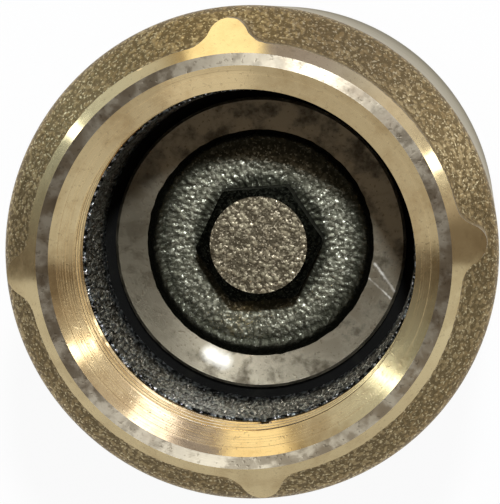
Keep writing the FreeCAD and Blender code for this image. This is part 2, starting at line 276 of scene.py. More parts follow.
def cast_finish(name, skin, pit, tinge, glint, grain_size, rough, bump_height, metal=1.0,
                corner_shade=None, stretch=1.0):
    material, tree, shader, place = start_material(name, Metallic=metal)
    grown = add_node(tree, "ShaderNodeVectorMath", {"operation": "MULTIPLY"}, i0=place)
    grown.inputs[1].default_value = (1, 1, 1 / stretch)
    grain = place_group(tree, cast_grain, Place=grown.outputs[0], Grain_Size=grain_size)
    ground = blended(tree, grain["Patches"], skin, tinge)
    ground = blended(tree, grain["Pits"], ground, pit)
    # The glints are painted highlights: a bright colour, and a little smoother below.
    ground = blended(tree, grain["Glints"], ground, glint)
    # Painted shade: darker towards the recess's outer wall and round the boss.
    if corner_shade:
        inner, outer = corner_shade
        parts = add_node(tree, "ShaderNodeSeparateXYZ", Vector=place).outputs
        flat = add_node(tree, "ShaderNodeCombineXYZ", X=parts["X"], Y=parts["Y"])
        radius = add_node(tree, "ShaderNodeVectorMath", {"operation": "LENGTH"},
                          Vector=flat.outputs[0]).outputs["Value"]
        outer_shade = mapped(tree, radius, outer * MM, (outer + 2.3) * MM, 0.0, 0.85)
        inner_shade = mapped(tree, radius, inner * MM, (inner - 1.2) * MM, 0.0, 0.9)
        dark = maths(tree, "MAXIMUM", outer_shade, inner_shade)
        ground = blended(tree, dark, ground, painted_shade_colour)
    tree.links.new(ground, shader.inputs["Base Color"])
    tree.links.new(mapped(tree, grain["Glints"], 0.0, 1.0, rough, rough * 0.7),
                   shader.inputs["Roughness"])
    bump = add_node(tree, "ShaderNodeBump", Strength=1.0, Distance=bump_height * MM,
                    Height=grain["Height"])
    tree.links.new(bump.outputs["Normal"], shader.inputs["Normal"])
    return material


cast_skin = cast_finish("cast_skin", colour(171, 150, 107), colour(118, 100, 67),
                        colour(146, 123, 82), colour(206, 188, 144), 0.50, 0.47, 0.100)
bore_skin = cast_finish("bore_skin", colour(154, 161, 160), colour(20, 22, 20),
                        colour(122, 129, 127), colour(255, 255, 255), 0.50, 0.36, 0.60, 0.8,
                        stretch=4.0)
# The corners of the recess get painted shade.
recess_skin = cast_finish("recess_skin", colour(132, 132, 118), colour(80, 80, 69),
                          colour(110, 109, 95), colour(184, 185, 171), 0.50, 0.46, 0.068,
                          corner_shade=(9.0, 10.0))
boss_skin = cast_finish("boss_skin", colour(130, 124, 105), colour(76, 70, 57),
                        colour(114, 105, 87), colour(192, 182, 160), 0.46, 0.45, 0.052)
# The boss's chamfer and sides take a far darker copy of its skin: painted shade.
boss_side_shade = cast_finish("boss_side_shade", colour(52, 54, 46), colour(22, 23, 18),
                             colour(40, 41, 34), colour(84, 86, 76), 0.45, 0.50, 0.05)
guide_skin = cast_finish("guide_skin", colour(190, 166, 116), colour(120, 100, 66),
                         colour(166, 144, 100), colour(226, 206, 158), 0.36, 0.45, 0.04)

# %% [markdown]
# ### Wear
# Turned metal that was handled has small dark specks and places that went dull. Two noises give a
# mask of each. They sit in one group, because every turned finish uses them with its own strength.

# %% Wear group
worn_marks, given, result = start_group(
    "worn_marks", [("Place", "Vector", None), ("Mark Size", "Float", 0.42)],
    [("Specks", "Float"), ("Dull", "Float")])
tree = worn_marks
per_metre = maths(tree, "DIVIDE", 1 / MM, given["Mark Size"])
specks = add_node(tree, "ShaderNodeTexNoise", {"noise_dimensions": "3D"},
                  Vector=given["Place"], Scale=per_metre, Detail=1.0)
dull = add_node(tree, "ShaderNodeTexNoise", {"noise_dimensions": "3D"},
                Vector=given["Place"], Scale=420.0, Detail=4.0, Roughness=0.6)
tree.links.new(mapped(tree, specks.outputs["Fac"], 0.62, 0.72), result["Specks"])
tree.links.new(mapped(tree, dull.outputs["Fac"], 0.35, 0.65), result["Dull"])
print("group", worn_marks.name)

# %% [markdown]
# ### Scratches and painted highlights
# A scratch is a bright line between two points. A painted picture could hold it, but then it would
# be tied to one resolution, so the group measures how far each place on the surface lies from the
# line. A noise makes the edges ragged, and a wide line gives a bright patch, used as a painted
# highlight.

# %% Scratch and highlight group
scratch_and_highlight_line, given, result = start_group(
    "scratch_and_highlight_line", [("Place", "Vector", None), ("Start", "Vector", None),
                     ("Reach", "Vector", None), ("Width", "Float", 0.1)], [("Mark", "Float")])
tree = scratch_and_highlight_line
offset = add_node(tree, "ShaderNodeVectorMath", {"operation": "SUBTRACT"},
                  i0=given["Place"], i1=given["Start"]).outputs[0]
along = add_node(tree, "ShaderNodeVectorMath", {"operation": "DOT_PRODUCT"}, i0=offset,
                 i1=given["Reach"]).outputs["Value"]
whole = add_node(tree, "ShaderNodeVectorMath", {"operation": "DOT_PRODUCT"}, i0=given["Reach"],
                 i1=given["Reach"]).outputs["Value"]
share = add_node(tree, "ShaderNodeMath", {"operation": "DIVIDE", "use_clamp": True}, i0=along,
                 i1=whole).outputs[0]
nearest = add_node(tree, "ShaderNodeVectorMath", {"operation": "SCALE"}, i0=given["Reach"],
                   Scale=share).outputs[0]
away = add_node(tree, "ShaderNodeVectorMath", {"operation": "DISTANCE"}, i0=offset,
                i1=nearest).outputs["Value"]
wobble = add_node(tree, "ShaderNodeTexNoise", Vector=given["Place"], Scale=1800.0, Detail=2.0)
away = maths(tree, "ADD", away, maths(tree, "MULTIPLY", wobble.outputs["Fac"], 0.0004))
width = maths(tree, "MULTIPLY", given["Width"], MM)
mark = maths(tree, "SUBTRACT", 1.0, maths(tree, "DIVIDE", maths(tree, "SUBTRACT", away, 0.00012),
                                          width))
tree.links.new(mapped(tree, mark, 0.0, 1.0), result["Mark"])
print("group", scratch_and_highlight_line.name)

# %% [markdown]
# ### The turned finishes
# Turned brass is a clean pale gold with fine rings. The end face and the rim of the clamp plate
# were cut straight across, and their grooves draw a highlight out into two streaks. Modelling the
# grooves would take far too many faces, so the shader's Anisotropic value does it. The colour
# carries the tarnish as soft clouds, and a tone can take over towards one side: on the end face it
# is a painted reflection, on the rim simply a darker tone.

# %% Turned finishes
speck_colour = colour(84, 74, 58)
bare_metal_and_highlight = colour(246, 244, 236)


def turned_finish(name, metal, tarnish, line_width, line_height, rough, axial=1.0, grooves=0.0,
                  marks=0.3, cloud_scale=220.0, side_tone=None, scratches_and_highlights=()):
    material, tree, shader, place = start_material(name, Metallic=1.0)
    lines = place_group(tree, turning_lines, Place=place, Line_Width=line_width, Axial_Share=axial)
    wear = place_group(tree, worn_marks, Place=place)
    cloud = add_node(tree, "ShaderNodeTexNoise", Vector=place, Scale=cloud_scale, Detail=5.0,
                     Roughness=0.65)
    share = maths(tree, "MULTIPLY", mapped(tree, cloud.outputs["Fac"], 0.42, 0.72), 0.8)
    clean = blended(tree, share, metal, tarnish)
    # A tone that takes over towards one side; on the end face it is a painted reflection.
    if side_tone:
        degrees, first, last, tone = side_tone
        outwards = add_node(tree, "ShaderNodeVectorMath", {"operation": "DOT_PRODUCT"},
                            Vector=place)
        outwards.inputs[1].default_value = (math.cos(math.radians(degrees)),
                                            math.sin(math.radians(degrees)), 0)
        clean = blended(tree, mapped(tree, outwards.outputs["Value"], first * MM, last * MM),
                        clean, tone)
    spots = maths(tree, "MULTIPLY", wear["Specks"], marks * 0.5)
    clean = blended(tree, spots, clean, speck_colour)
    # Bright lines: narrow ones are scratches, a wide one is a painted highlight.
    for start, end, width in scratches_and_highlights:
        reach = [(b - a) * MM for a, b in zip(start, end)]
        line_mark = place_group(tree, scratch_and_highlight_line, Place=place, Start=[c * MM for c in start],
                              Reach=reach, Width=width)
        clean = blended(tree, line_mark["Mark"], clean, bare_metal_and_highlight)
    tree.links.new(clean, shader.inputs["Base Color"])
    tree.links.new(mapped(tree, maths(tree, "MULTIPLY", wear["Dull"], marks), 0.0, 1.0,
                          rough, rough + 0.22), shader.inputs["Roughness"])
    height = maths(tree, "SUBTRACT", lines["Height"], maths(tree, "MULTIPLY", spots, 1.5))
    bump = add_node(tree, "ShaderNodeBump", Strength=1.0, Distance=line_height * MM, Height=height)
    tree.links.new(bump.outputs["Normal"], shader.inputs["Normal"])
    if grooves:
        shader.inputs["Anisotropic"].default_value = grooves
        shader.inputs["Anisotropic Rotation"].default_value = 0.25
        tangent = add_node(tree, "ShaderNodeTangent", {"direction_type": "RADIAL", "axis": "Z"})
        tree.links.new(tangent.outputs[0], shader.inputs["Tangent"])
    return material


bevel_brass = turned_finish("bevel_brass", colour(240, 214, 158), colour(214, 186, 132),
                            0.16, 0.002, 0.12, axial=-1.0)
cone_brass = turned_finish("cone_brass", colour(226, 198, 144), colour(196, 164, 112),
                           0.30, 0.009, 0.12)
lead_brass = turned_finish("lead_brass", colour(230, 202, 148), colour(200, 168, 116),
                           0.22, 0.016, 0.13)
thread_brass = turned_finish("thread_brass", colour(232, 202, 146), colour(196, 162, 108),
                             0.22, 0.006, 0.16)
# The end face is lighter towards 295 degrees: a painted reflection.
face_metal = turned_finish("face_metal", colour(158, 150, 134), colour(112, 100, 84),
                           0.12, 0.005, 0.28, grooves=0.75, marks=0.8,
                           side_tone=(295, 14.5, 22.0, colour(208, 199, 178)))
barrel_brass = turned_finish("barrel_brass", colour(172, 159, 124), colour(158, 144, 108),
                             0.25, 0.006, 0.34)
chamber_brass = turned_finish("chamber_brass", colour(214, 184, 124), colour(170, 140, 90),
                              0.2, 0.004, 0.3)
# The rim is darker towards 190 degrees. Its two narrow lines are scratches; the wide third one is a
# painted highlight of the lamp's streak.
rim_metal = turned_finish("rim_metal", colour(158, 151, 134), colour(66, 58, 44),
                          0.12, 0.006, 0.34, grooves=0.6, marks=0.9, cloud_scale=420.0,
                          side_tone=(190, 7.0, 15.0, colour(112, 106, 92)),
                          scratches_and_highlights=(((13.8, -3.5, rim_height), (16.0, -7.1, rim_height), 0.35),
                                     ((12.9, -5.2, rim_height), (15.4, -7.9, rim_height), 0.25),
                                     ((-7.2, -13.2, rim_height), (-5.6, -14.2, rim_height), 1.6)))
disc_brass = turned_finish("disc_brass", colour(222, 192, 130), colour(180, 150, 98),
                           0.18, 0.003, 0.28)
spring_steel = turned_finish("spring_steel", colour(176, 176, 174), colour(140, 138, 134),
                             0.1, 0.002, 0.3)
print("metal finishes", len(bpy.data.materials))

# %% [markdown]
# ### Rubber
# The sealing rings are black moulded rubber: not metallic, dull, with a faint skin.

# %% Rubber
seal_rubber, tree, shader, place = start_material("seal_rubber", Roughness=0.6,
                                                 Specular_IOR_Level=0.10)
skin = add_node(tree, "ShaderNodeTexNoise", Vector=place, Scale=2600.0, Detail=3.0)
dust = add_node(tree, "ShaderNodeTexNoise", Vector=place, Scale=300.0, Detail=5.0)
tree.links.new(blended(tree, mapped(tree, dust.outputs["Fac"], 0.55, 0.8),
                       colour(6, 6, 5), colour(24, 24, 19)), shader.inputs["Base Color"])
bump = add_node(tree, "ShaderNodeBump", Strength=1.0, Distance=0.01 * MM,
                Height=skin.outputs["Fac"])
tree.links.new(bump.outputs["Normal"], shader.inputs["Normal"])

# %% [markdown]
# ## Rolling a zone
# A casting that was finished on a lathe is round. Spinning its whole outline in one go would do,
# but a thread, lugs and rough skin need hundreds of steps. So each zone starts as a flat grid, as a
# sheet of metal would, and is rolled round the axis: across the sheet runs the zone's outline, and
# along it the angle. A form can then move each point to where the real surface isn't quite round.
# All zones go into one mesh, and their shared edges are merged at the end, so it is closed.

# %% Helpers for rolled pieces
def roll_zone(mesh, line, finish, form=None, steps=480):
    """Rolls a sheet whose rows are (radius, height) points, in mm, and moves them by the form."""
    first_vertex, first_face = len(mesh.verts), len(mesh.faces)
    rows = len(line) - 1
    bmesh.ops.create_grid(mesh, x_segments=steps, y_segments=rows, size=0.5)
    mesh.verts.ensure_lookup_table()
    mesh.faces.ensure_lookup_table()
    for face in mesh.faces[first_face:]:
        face.material_index = finish
    for vertex in mesh.verts[first_vertex:]:
        turn = math.tau * round((vertex.co.x + 0.5) * steps) / steps
        radius, height = line[round((vertex.co.y + 0.5) * rows)]
        if form:
            radius, height = form(radius, height, turn)
        vertex.co = (radius * math.cos(turn), radius * math.sin(turn), height)


def divided(*corners, spacing=1.0):
    """The line through the corners with points at most the spacing apart."""
    line = [corners[0]]
    for start, end in zip(corners, corners[1:]):
        count = max(1, math.ceil(math.dist(start, end) / spacing))
        for index in range(1, count + 1):
            share = index / count
            line.append(tuple(a + (b - a) * share for a, b in zip(start, end)))
    return line


def finish_piece(mesh, name, finishes, body, *stands_for):
    """Closes a mesh made in mm and makes it a piece of the valve."""
    bmesh.ops.remove_doubles(mesh, verts=mesh.verts, dist=0.002)
    bmesh.ops.dissolve_degenerate(mesh, edges=mesh.edges, dist=0.0005)
    bmesh.ops.recalc_face_normals(mesh, faces=mesh.faces)
    bmesh.ops.scale(mesh, vec=(MM, MM, MM), verts=mesh.verts)
    for face in mesh.faces:
        face.smooth = True
    open_edges = sum(1 for edge in mesh.edges if not edge.is_manifold)
    data = bpy.data.meshes.new(name)
    mesh.to_mesh(data)
    mesh.free()
    for finish in finishes:
        data.materials.append(finish)
    data.set_sharp_from_angle(angle=math.radians(32))
    piece = bpy.data.objects.new(name, data)
    bpy.context.scene.collection.objects.link(piece)
    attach(piece, body)
    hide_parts(*stands_for)
    print(name, "faces", len(data.polygons), "open edges", open_edges)
    return piece

# %% [markdown]
# ## The outside of an end
# Both ends are cast with four rounded lugs for a spanner. We roll the plain socket and pull the
# lugs out of it: for each angle, the outline below gives how far the casting reaches. The
# shoulder behind the socket is a cone that flows into the barrel, and two smooth limits join the
# parts as the foundry's rounded roots do.

# %% Outline of a socket with its lugs
tip_corner = Vector((lug_radius - lug_tip_round, lug_tip_width / 2 - lug_tip_round))
root_reach = socket_radius + lug_root_round
corner_gap = lug_tip_round + lug_root_round
root_along = (tip_corner.length ** 2 + root_reach ** 2 - corner_gap ** 2) / (2 * tip_corner.length)
root_across = math.sqrt(root_reach ** 2 - root_along ** 2)
lug_direction = tip_corner.normalized()
lug_root = lug_direction * root_along + Vector((-lug_direction.y, lug_direction.x)) * root_across
lug_side = tip_corner + (lug_root - tip_corner) * (lug_tip_round / corner_gap)
tip_angle = math.atan2(tip_corner.y, lug_radius)
side_angle = math.atan2(lug_side.y, lug_side.x)
root_angle = math.atan2(lug_root.y, lug_root.x)


def outline(turn):
    """How far a socket reaches at an angle, in mm."""
    pitch = math.tau / lug_count
    angle = abs((turn + pitch / 2) % pitch - pitch / 2)
    ray = Vector((math.cos(angle), math.sin(angle)))
    if angle < tip_angle:
        return lug_radius / ray.x
    if angle < side_angle:
        across = tip_corner.x * ray.y - tip_corner.y * ray.x
        return tip_corner.dot(ray) + math.sqrt(lug_tip_round ** 2 - across ** 2)
    if angle < root_angle:
        across = lug_root.x * ray.y - lug_root.y * ray.x
        return lug_root.dot(ray) - math.sqrt(max(lug_root_round ** 2 - across ** 2, 0))
    return socket_radius


print("lug half angles", [round(math.degrees(a), 2) for a in (tip_angle, side_angle, root_angle)])

# %% Cast surface behind the machined bevel
def smooth_min(first, second, width):
    mix = max(width - abs(first - second), 0) / width
    return min(first, second) - mix * mix * width / 4


def smooth_max(first, second, width):
    return -smooth_min(-first, -second, width)


def lump(radius, height, turn, size, amount):
    """A small unevenness of cast metal, the same every run."""
    place = Vector((radius * math.cos(turn), radius * math.sin(turn), height)) / size
    return amount * (noise.noise(place) + 0.5 * noise.noise(place * 2.1))


def cast_reach(reach, depth):
    cone = socket_radius + depth - shoulder_start
    return smooth_max(reach, smooth_min(cone, barrel_radius, 1.14), 0.43)


class EndForm:
    """Places the points of one end: depths become heights, and lugs and lumps are added."""

    def __init__(self, height_at, lug_turn, last_depth):
        self.height_at = height_at
        self.lug_turn = lug_turn
        self.last_depth = last_depth

    def edge(self, turn):
        reach = outline(turn - self.lug_turn)
        edge = reach
        for _ in range(3):
            edge = reach + self.lumps((edge - end_face_radius) * bevel_slope, turn)
        return edge

    def lumps(self, depth, turn):
        fade = min(1.0, max(0.0, (self.last_depth - depth) / 1.5))
        return fade * (lump(25, self.height_at(depth), turn, 0.55, 0.07)
                       + lump(25, self.height_at(depth), turn, 5.0, 0.06))

    def bevel(self, radius, height, turn):
        share = (radius - end_face_radius) / (socket_radius - end_face_radius)
        reach = end_face_radius + share * (self.edge(turn) - end_face_radius)
        return reach, self.height_at((reach - end_face_radius) * bevel_slope)

    def cast(self, radius, height, turn):
        edge = self.edge(turn)
        first = (edge - end_face_radius) * bevel_slope
        share = height / self.last_depth
        depth = first + share * (self.last_depth - first)
        if share == 0:
            return edge, self.height_at(depth)
        reach = cast_reach(outline(turn - self.lug_turn), depth) + self.lumps(depth, turn)
        return reach, self.height_at(depth)

    def plain(self, radius, height, turn):
        return radius, self.height_at(height)

# %% [markdown]
# ## The pipe thread
# The sockets have a G 1 1/4 thread: 11 ridges to the inch, rounded at the root. Its crests are
# flat, because the tap left the wall of the bore between its cuts. A screw could be spun from one
# short line, but here the whole sheet is rolled once and climbs by a pitch on the way, so that its
# edges meet. Every point is held between the countersink and the end of the thread, and the ridges
# fade out towards both, where the tap ran out and tore the cast skin.

# %% Thread profile
thread_round = 0.137329 * thread_pitch
flank = math.radians(27.5)
arc_reach = thread_round * math.cos(flank)
arc_fall = thread_round * (1 - math.sin(flank))
crest_half = arc_reach - arc_fall * math.tan(flank)


def below_crest(along):
    """Depth of the thread's surface behind its flat crest, at a distance along the axis."""
    away = abs((along / thread_pitch + 0.5) % 1 - 0.5) * thread_pitch
    from_root = thread_pitch / 2 - away
    full = thread_root_radius - thread_crest_radius
    if from_root < arc_reach:
        return full - thread_round + math.sqrt(thread_round ** 2 - from_root ** 2)
    return max(0.0, (away - crest_half) / math.tan(flank))


def ragged(turn):
    """How far the torn end of the thread strays along the axis, with one deep nick."""
    nick = ((turn - nick_angle + math.pi) % math.tau - math.pi) / 0.03
    return lump(19.4, 0, turn, 1.3, 0.24) - 1.5 * math.exp(-nick * nick)


nick_angle = math.radians(-88.7)
runout = 1.9


def eased(share):
    share = min(1.0, max(0.0, share))
    return share * share * (3 - 2 * share)


def thread_form(end, sense):
    """The thread of an end. The sense is the way its depth grows with the turn."""
    def form(radius, depth, turn):
        climb = sense * thread_pitch * turn / math.tau
        last = thread_end_depth + ragged(turn)
        depth = min(max(depth + climb, first_thread_depth), last)
        fade = eased((last - depth) / runout) * eased((depth - first_thread_depth) / 1.2)
        return thread_crest_radius + fade * below_crest(depth - climb), end.height_at(depth)
    return form


def thread_zone(mesh, end, sense, finish):
    """Rolls all ridges at once; over the whole turn the sheet climbs by one pitch."""
    root = thread_pitch / 2
    stations = [-crest_half, 0, crest_half, (crest_half + root - arc_reach) / 2]
    stations += [root + arc_reach * s for s in (-1, -0.5, 0, 0.5, 1)]
    stations += [thread_pitch - stations[3]]
    ridges = math.ceil(thread_end_depth / thread_pitch) + 2
    line = [(thread_crest_radius, ridge * thread_pitch + s)
            for ridge in range(-1, ridges) for s in stations]
    roll_zone(mesh, line, finish, thread_form(end, sense))

# %% [markdown]
# ## The inlet casting
# One casting holds the inlet socket, the shoulder and the barrel. The zones follow each other from
# the end face outwards over the bevel, the lugs and the barrel, and inwards through the two cones
# of the countersink, the thread and the rough bore to the seat. The order of the finishes is the
# order of the material slots.

# %% Inside of an end
def end_inside(mesh, end, sense, last_depth):
    """Countersink, thread and rough bore of an end, down to a depth."""
    roll_zone(mesh, [(countersink_radius, 0), (end_face_radius - 0.7, 0), (end_face_radius, 0)],
              FACE, end.plain)
    roll_zone(mesh, divided(countersink_break, (countersink_radius, 0), spacing=0.3),
              CONE, end.plain)
    roll_zone(mesh, divided((thread_crest_radius, first_thread_depth), countersink_break,
                            spacing=0.3), LEAD, end.plain)
    thread_zone(mesh, end, sense, THREAD)

    def torn(radius, depth, turn):
        fade = max(0.0, 1 - (depth - thread_end_depth) / 3)
        return radius, end.height_at(depth + fade * ragged(turn))

    def rough(radius, depth, turn):
        radius, height = torn(radius, depth, turn)
        from_ends = min(depth - step_depth, last_depth - depth)
        fade = min(1.0, max(0.0, from_ends / 0.8))
        return radius + fade * lump(radius, height * 0.3, turn, 0.5, 0.16), height

    step_depth = thread_end_depth + thread_crest_radius - port_radius
    roll_zone(mesh, [(thread_crest_radius, thread_end_depth), (port_radius, step_depth)],
              BORE, torn)
    roll_zone(mesh, divided((port_radius, step_depth), (port_radius, last_depth), spacing=0.33),
              BORE, rough)


def end_outside(mesh, end):
    """Bevel and cast skin of an end, as far as the end form reaches."""
    roll_zone(mesh, divided((end_face_radius, 0), (socket_radius, 0), spacing=0.24), BEVEL,
              end.bevel)
    roll_zone(mesh, divided((socket_radius, 0), (socket_radius, end.last_depth), spacing=0.34),
              CAST, end.cast)


FACE, BEVEL, CAST, CONE, LEAD, THREAD, BORE, BARREL, CHAMBER = range(9)
casting_finishes = (face_metal, bevel_brass, cast_skin, cone_brass, lead_brass, thread_brass,
                    bore_skin, barrel_brass, chamber_brass)

# %% Inlet casting
inlet_mesh = bmesh.new()
inlet_end = EndForm(lambda depth: top_height - depth, 0.0, 13.2)
seat_depth = top_height - seat_height
end_outside(inlet_mesh, inlet_end)
end_inside(inlet_mesh, inlet_end, -1, seat_depth)
barrel_start = cast_reach(socket_radius, inlet_end.last_depth)
roll_zone(inlet_mesh, divided((barrel_start, top_height - inlet_end.last_depth),
                              (barrel_radius, top_height - 14),
                              (barrel_radius, joint_height + 0.5),
                              (barrel_radius - 0.5, joint_height), spacing=12), BARREL)
roll_zone(inlet_mesh, [(barrel_radius - 0.5, joint_height), (joint_radius + 0.6, joint_height),
                       (joint_radius, joint_height + 0.6), (joint_radius, 30),
                       (chamber_radius, 30), (chamber_radius, 69.5), (25.7, 70.5),
                       (24.9, 71.2), (24.0, 71.4), (23.1, 71.2), (22.3, 70.5), (22.0, 69.5),
                       (22.0, 57.7), (20.0, seat_height), (port_radius, seat_height)], CHAMBER)
inlet_casting = finish_piece(inlet_mesh, "inlet_casting", casting_finishes, "housing",
                             "inlet_body")

# %% [markdown]
# ## The outlet casting
# The outlet has the same end form, turned over and turned by 22 degrees, because the cap is screwed
# in until it is tight and its lugs then stand out of line. Its flange ends where the barrel begins,
# and a spigot with a groove for the sealing ring goes on inside.

# %% Outlet casting
outlet_mesh = bmesh.new()
outlet_end = EndForm(lambda depth: depth, cap_turn, joint_height - 0.5)
end_outside(outlet_mesh, outlet_end)
port_land_depth = 15.9
end_inside(outlet_mesh, outlet_end, 1, port_land_depth)
flange_radius = cast_reach(socket_radius, outlet_end.last_depth)
roll_zone(outlet_mesh, [(flange_radius, joint_height - 0.5), (barrel_radius - 0.6, joint_height),
                        (25.1, joint_height), (26.85, joint_height), (26.85, 14.2),
                        (25.1, 14.2), (25.1, 16.6), (26.85, 16.6), (26.85, 25.9), (26.25, 26.5),
                        (22.4, 26.5), (22.4, 20.5), (port_radius, port_land_depth)], CHAMBER)
outlet_casting = finish_piece(outlet_mesh, "outlet_casting", casting_finishes, "housing",
                              "outlet_cap")

# %% [markdown]
# ## The clamp plate
# The dished plate in the bore is a casting too: only its rim was turned bright, and the tool left a
# ragged edge where the rough recess begins. The hexagon boss is rolled as a round one, and each
# ring of its points is moved in to the six flats. The small holes left in the middle of the top
# and the back are filled at the end.

# %% Clamp plate
seal_top = seat_height
floor_height = rim_height - 1.6
boss_top = rim_height + 3.9
plate_radius = 17.85
recess_radius = 13.9
boss_flat = 6.8
boss_top_radius = 5.9
boss_corner_radius = boss_flat / math.cos(math.pi / 6)
chamfer_slope = 1.3 / (boss_corner_radius - boss_top_radius)
RIM, RECESS, BOSS, BOSS_SIDE, BACK = range(5)


def hexagon(turn):
    """How far the boss reaches at an angle, with slightly rounded corners."""
    total = sum(max(0.0, math.cos(turn - math.radians(30 + 60 * side))) ** 48
                for side in range(6))
    return boss_flat / total ** (1 / 48)


def recess_form(radius, height, turn):
    edge = recess_radius + lump(recess_radius, 0, turn, 1.3, 0.09)
    if height >= rim_height:
        return edge, rim_height
    foot = hexagon(turn) + 0.06
    share = (radius - boss_corner_radius) / (recess_radius - boss_corner_radius)
    return foot + share * (edge - foot), height + lump(radius, height, turn, 0.5, 0.08)


def boss_form(radius, height, turn):
    inner = hexagon(turn)
    if height <= boss_side_top:
        top = boss_top - chamfer_slope * (inner - boss_top_radius)
        share = (height - floor_height) / (boss_side_top - floor_height)
        if share == 0:
            return recess_form(radius, height, turn)
        reach = inner + 0.5 * max(0.0, 0.35 - share) ** 2
        return reach, floor_height + share * (top - floor_height)
    share = (radius - boss_top_radius) / (boss_corner_radius - boss_top_radius)
    reach = boss_top_radius + share * (inner - boss_top_radius)
    return reach, boss_top - chamfer_slope * (reach - boss_top_radius)


boss_side_top = boss_top - 1.3
plate_mesh = bmesh.new()
plate_steps = 360


def rim_form(radius, height, turn):
    if radius <= recess_radius + 0.01:
        return recess_form(recess_radius, rim_height, turn)
    return radius, height


def top_form(radius, height, turn):
    fade = min(1.0, (boss_top_radius - radius) / 0.4)
    return radius, height + fade * lump(radius, height, turn, 0.9, 0.025)


roll_zone(plate_mesh, [(boss_top_radius - 0.4 * k, boss_top) for k in range(14)]
          + [(0.3, boss_top)], BOSS, top_form, plate_steps)
roll_zone(plate_mesh, [(boss_top_radius, boss_top),
                       ((boss_top_radius + boss_corner_radius) / 2, boss_top - 0.65),
                       (boss_corner_radius, boss_side_top + 0.001)], BOSS_SIDE, boss_form,
          plate_steps)
roll_zone(plate_mesh, divided((boss_corner_radius, boss_side_top),
                              (boss_corner_radius, floor_height), spacing=0.5), BOSS_SIDE,
          boss_form, plate_steps)
roll_zone(plate_mesh, divided((boss_corner_radius, floor_height),
                              (recess_radius - 1.4, floor_height), spacing=0.3)
          + [(recess_radius - 0.9, floor_height + 0.14),
             (recess_radius - 0.55, floor_height + 0.42),
             (recess_radius - 0.35, floor_height + 0.8),
             (recess_radius - 0.18, floor_height + 1.2),
             (recess_radius, rim_height)], RECESS, recess_form, plate_steps)
roll_zone(plate_mesh, [(recess_radius, rim_height), (recess_radius + 0.4, rim_height),
                       (plate_radius - 1.2, rim_height), (plate_radius - 0.35, rim_height),
                       (plate_radius, rim_height - 0.35)], RIM, rim_form, plate_steps)
roll_zone(plate_mesh, [(plate_radius, rim_height - 0.35), (plate_radius, seal_top),
                       (14.2, seal_top), (14.2, 53.4), (4.0, 53.4), (4.0, 47.0),
                       (3.4, 46.4), (0.3, 46.4)], BACK, None, plate_steps)
bmesh.ops.remove_doubles(plate_mesh, verts=plate_mesh.verts, dist=0.002)
bmesh.ops.holes_fill(plate_mesh, edges=[e for e in plate_mesh.edges if e.is_boundary],
                     sides=plate_steps)
clamp_piece = finish_piece(plate_mesh, "clamp_plate_casting",
                           (rim_metal, recess_skin, boss_skin, boss_side_shade,
                            chamber_brass), "poppet",
                           "clamp_plate")

# %% [markdown]
# ## The spring
# A compression spring is one wire wound into a coil. We spin the wire's round section by half a
# turn at a time, because the end coils lie close together and the middle ones are open, and then
# grind both ends flat by cutting them off. As the poppet opens, the real spring shortens evenly;
# here the piece only gets a mesh of its own.

# %% Spring
spring_seat = 31.0
spring_length = 19.0
spring_radius = 9.5
wire_radius = 0.55
ground_tip = 0.2
closed_rise = wire_radius + 0.06
open_rise = (spring_length - 2 * ground_tip - 4 * closed_rise) / 9
spring_mesh = bmesh.new()
ring = bmesh.ops.create_circle(spring_mesh, segments=14, radius=wire_radius)["verts"]
for point in ring:
    point.co = (spring_radius + point.co.x, 0, spring_seat + ground_tip + point.co.y)
wire = list(ring) + list({edge for point in ring for edge in point.link_edges})
for rise in [closed_rise] * 2 + [open_rise] * 9 + [closed_rise] * 2:
    steps = 36
    made = bmesh.ops.spin(spring_mesh, geom=wire, cent=(0, 0, 0), axis=(0, 0, 1),
                          dvec=(0, 0, rise / steps), angle=math.pi, steps=steps,
                          use_merge=False)
    wire = made["geom_last"]
for cut_height, way in ((spring_seat, -1), (spring_seat + spring_length, 1)):
    everything = spring_mesh.verts[:] + spring_mesh.edges[:] + spring_mesh.faces[:]
    bmesh.ops.bisect_plane(spring_mesh, geom=everything, dist=0.0001,
                           plane_co=(0, 0, cut_height), plane_no=(0, 0, way), clear_outer=True)
bmesh.ops.holes_fill(spring_mesh, edges=[e for e in spring_mesh.edges if e.is_boundary], sides=0)
spring_piece = finish_piece(spring_mesh, "spring_coil", (spring_steel,), "housing",
                            "return_spring")
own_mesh(spring_piece)

# %% [markdown]
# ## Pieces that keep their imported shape
# The rubber rings, the poppet's disc and the guide already have the right shape, so they only get
# the finish that the real ones have.

# %% Finishes of the kept pieces
for node_name, finish in (("poppet_seal", seal_rubber), ("joint_ring", seal_rubber),
                          ("poppet_disc", disc_brass), ("stem_guide", guide_skin)):
    kept = nodes[node_name]
    kept.data.materials.clear()
    kept.data.materials.append(finish)
    print(node_name, "gets", finish.name)

# %% [markdown]
# ## Light
# The photograph was taken on a white table, under one small lamp high above and a little towards
# the top of the picture: it throws the shadow over the upper half of the clamp plate's rim, and the
# two bright streaks on the turned end face point towards it. Everything else is what the bright
# metal mirrors. A ring of coloured card round the valve stands for the room: pale almost all the
# way, with dark parts and a window. A dim card overhead stands for the ceiling. The barrel mirrors
# the table just beside its foot, which lies in the valve's shade, so the table glows less there.

# %% Floor
def start_paint(name):
    """A material of the surroundings that starts with nothing but its output."""
    material = bpy.data.materials.new(name)
    material.use_nodes = True
    tree = material.node_tree
    tree.nodes.clear()
    return material, tree, tree.nodes.new("ShaderNodeOutputMaterial")


